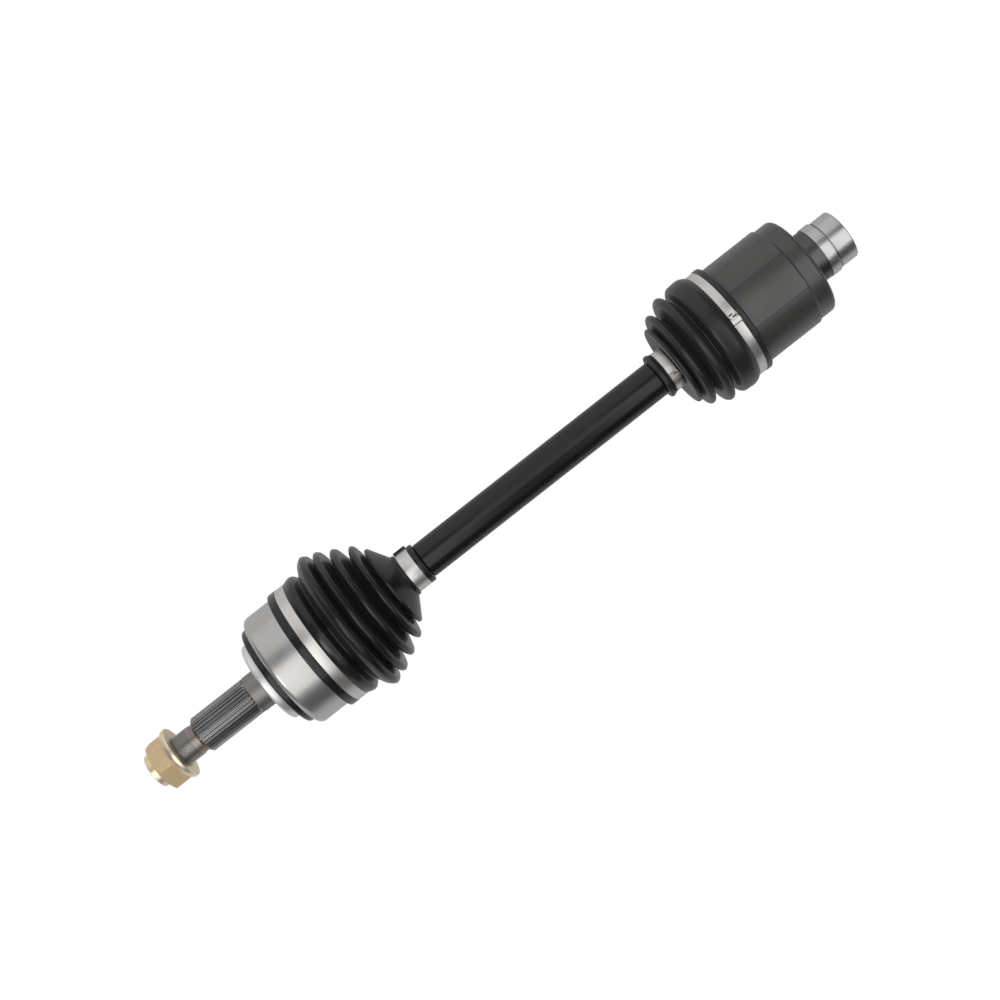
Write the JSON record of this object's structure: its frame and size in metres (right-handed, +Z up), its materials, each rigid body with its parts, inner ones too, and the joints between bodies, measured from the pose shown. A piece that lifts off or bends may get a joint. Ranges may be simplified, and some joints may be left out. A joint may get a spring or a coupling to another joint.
{
  "type": "front-wheel-drive cv axle",
  "caption": "Half-shaft with a ball joint and threaded stub at the wheel end, a solid bar, and a sliding tripod joint with a splined socket at the gearbox end, both under bellows boots.",
  "frame": {"origin": "the middle of the axle's length, on its axis", "axes": "+X runs along the axle from the wheel end to the gearbox end, +Z is up as the axle lies on a bench, +Y completes the right-handed frame"},
  "size_m": [0.638, 0.1136, 0.1136],
  "materials": {
    "ground_steel": "turned and ground, satin",
    "bright_ring": "bright pressed ring",
    "zinc_nut": "yellow zinc plate, slightly iridescent",
    "hardened_steel": "hardened and ground, oiled",
    "ball_steel": "polished",
    "spring_steel": "spring temper",
    "black_bar": "satin black paint",
    "housing_steel": "dark phosphate with turned bands and a ground sleeve",
    "clamp_steel": "rolled stainless band",
    "outboard_boot": "moulded black elastomer, glossy",
    "inboard_boot": "moulded black rubber, matt"
  },
  "bodies": {
    "axle": {"axle_bar": "black_bar", "inner_race": "hardened_steel", "race_snap_ring": "spring_steel", "spider": "hardened_steel", "spider_snap_ring_1": "spring_steel", "spider_snap_ring_2": "spring_steel", "roller_retainer_1": "spring_steel", "roller_retainer_2": "spring_steel", "roller_retainer_3": "spring_steel", "outboard_boot": "outboard_boot", "outboard_small_clamp": "clamp_steel", "inboard_small_clamp": "clamp_steel"},
    "wheel_end": {"outer_race": "ground_steel", "dust_ring": "bright_ring", "outboard_large_clamp": "clamp_steel"},
    "axle_nut": {"axle_nut": "zinc_nut"},
    "ball_cage": {"cage": "hardened_steel", "ball_1": "ball_steel", "ball_2": "ball_steel", "ball_3": "ball_steel", "ball_4": "ball_steel", "ball_5": "ball_steel", "ball_6": "ball_steel"},
    "lower_roller": {"roller_3": "ball_steel", "needle_row_3": "ball_steel"},
    "gearbox_end": {"tripod_housing": "housing_steel", "grease_plug": "spring_steel", "inboard_large_clamp": "clamp_steel", "inboard_boot": "inboard_boot"},
    "roller_1": {"roller_1": "ball_steel", "needle_row_1": "ball_steel"},
    "roller_2": {"roller_2": "ball_steel", "needle_row_2": "ball_steel"}
  },
  "joints": [
    {"name": "outboard_bend", "type": "hinge", "parent": "axle", "child": "wheel_end", "pos_m": [-0.177, 0, 0], "axis": [0, 0, 1], "range_deg": [-45, 45], "deforming": ["outboard_boot"]},
    {"name": "cage_bend", "type": "hinge", "parent": "axle", "child": "ball_cage", "pos_m": [-0.177, 0, 0], "axis": [0, 0, 1], "range_deg": [-23, 23]},
    {"name": "axle_nut_turn", "type": "hinge", "parent": "wheel_end", "child": "axle_nut", "pos_m": [-0.307, 0, 0], "axis": [1, 0, 0], "continuous": true},
    {"name": "inboard_bend", "type": "hinge", "parent": "axle", "child": "lower_roller", "pos_m": [0.24, 0, 0], "axis": [0, 0, 1], "range_deg": [-20, 20], "deforming": ["inboard_boot"]},
    {"name": "plunge", "type": "slide", "parent": "lower_roller", "child": "gearbox_end", "axis": [1, 0, 0], "range_m": [-0.005, 0.024], "deforming": ["inboard_boot"]},
    {"name": "roller_1_roll", "type": "hinge", "parent": "axle", "child": "roller_1", "pos_m": [0.24, 0.02252, 0.013], "axis": [0, 0.866, 0.5], "range_deg": [-25, 100]},
    {"name": "roller_2_roll", "type": "hinge", "parent": "axle", "child": "roller_2", "pos_m": [0.24, -0.02252, 0.013], "axis": [0, -0.866, 0.5], "range_deg": [-25, 100]}
  ],
  "couplings": [
    {"joint": "cage_bend", "follows": "outboard_bend", "ratio": 0.5},
    {"joint": "roller_1_roll", "follows": "plunge", "rad_per_m": 66.667},
    {"joint": "roller_2_roll", "follows": "plunge", "rad_per_m": 66.667}
  ]
}
